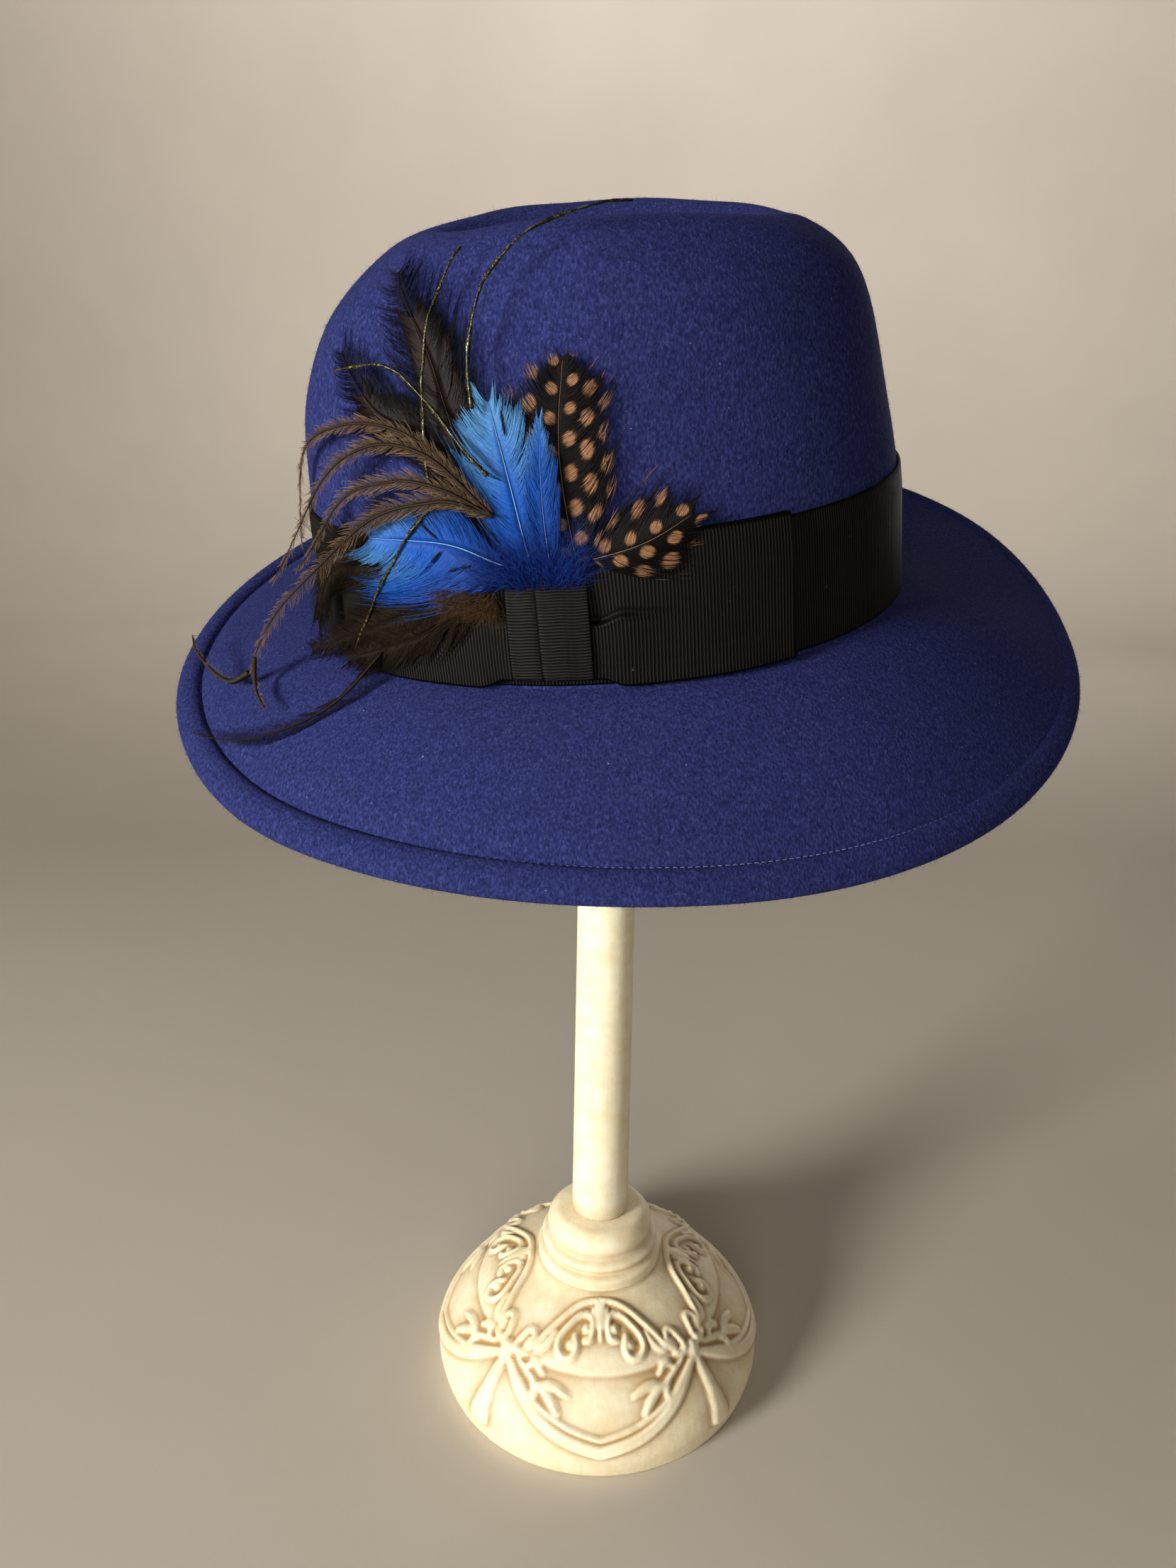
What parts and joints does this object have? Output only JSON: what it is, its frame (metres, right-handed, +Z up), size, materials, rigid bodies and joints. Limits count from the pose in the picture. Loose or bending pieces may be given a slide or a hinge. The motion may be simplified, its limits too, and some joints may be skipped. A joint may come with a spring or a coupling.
{
  "type": "fedora on a hat stand",
  "caption": "Blue wool felt fedora with a creased crown, turned brim, ribbed ribbon bow and a spray of feathers, resting on a cast pedestal hat stand.",
  "frame": {"origin": "centre of the flat underside of the stand's base", "axes": "+Z up along the pole, +X to the hat's front, -Y to the side with the bow and feathers"},
  "size_m": [0.3383, 0.2893, 0.4909],
  "materials": {
    "royal_felt": "napped wool felt",
    "black_ribbon": "ribbed ribbon",
    "blue_feather": "dyed feather",
    "guinea_feather": "dark feather with tan dots",
    "hackle_feather": "glossy dark feather",
    "tail_feather": "brown feather",
    "plume_feather": "fuzzy brown plume",
    "cream_stand": "cream paint with an ochre wash in the recesses"
  },
  "bodies": {
    "root": {"felt_body": "royal_felt", "hat_band": "black_ribbon", "bow_right_loop": "black_ribbon", "bow_left_loop": "black_ribbon", "bow_knot": "black_ribbon", "feather_blue_upright": "blue_feather", "feather_blue_narrow": "blue_feather", "feather_blue_side": "blue_feather", "feather_guinea_tall": "guinea_feather", "feather_guinea_side": "guinea_feather", "feather_hackle_tall": "hackle_feather", "feather_hackle_side": "hackle_feather", "feather_tail_spray": "tail_feather", "feather_plume_spray": "plume_feather", "stand_base": "cream_stand", "stand_pole": "cream_stand", "stand_top": "cream_stand"}
  },
  "joints": []
}
